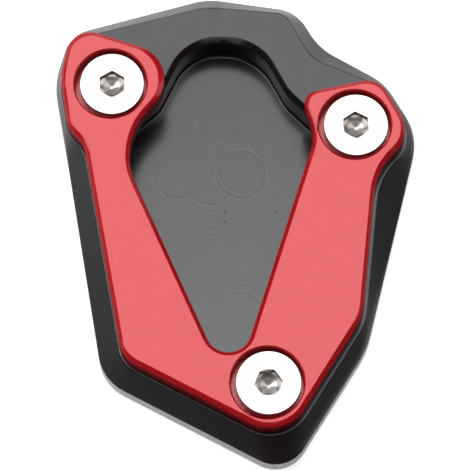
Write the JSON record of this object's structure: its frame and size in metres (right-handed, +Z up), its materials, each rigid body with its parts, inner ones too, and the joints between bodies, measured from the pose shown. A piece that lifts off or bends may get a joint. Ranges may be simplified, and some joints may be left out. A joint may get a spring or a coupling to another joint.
{
  "type": "motorcycle side stand foot plate",
  "caption": "Flat two-part foot plate that widens the foot of a motorcycle side stand: pocketed base plate with a V-shaped clamp plate screwed down over the stand's foot.",
  "frame": {"origin": "on the flat underside, at the middle of the plate's bounding box", "axes": "+Z up through the plate to the screw heads, +Y along the plate from the closed end of the V towards the open end of the pocket, +X to the right seen from above"},
  "size_m": [0.074, 0.0992, 0.0166],
  "materials": {
    "black_anodised": "milled aluminium, black anodised, satin to gloss",
    "red_anodised": "milled aluminium, red anodised, fine feed lines on the top face",
    "stainless_steel": "bright turned stainless steel"
  },
  "bodies": {
    "root": {"base_plate": "black_anodised", "clamp_plate": "red_anodised", "clamp_screws": "stainless_steel"}
  },
  "joints": []
}
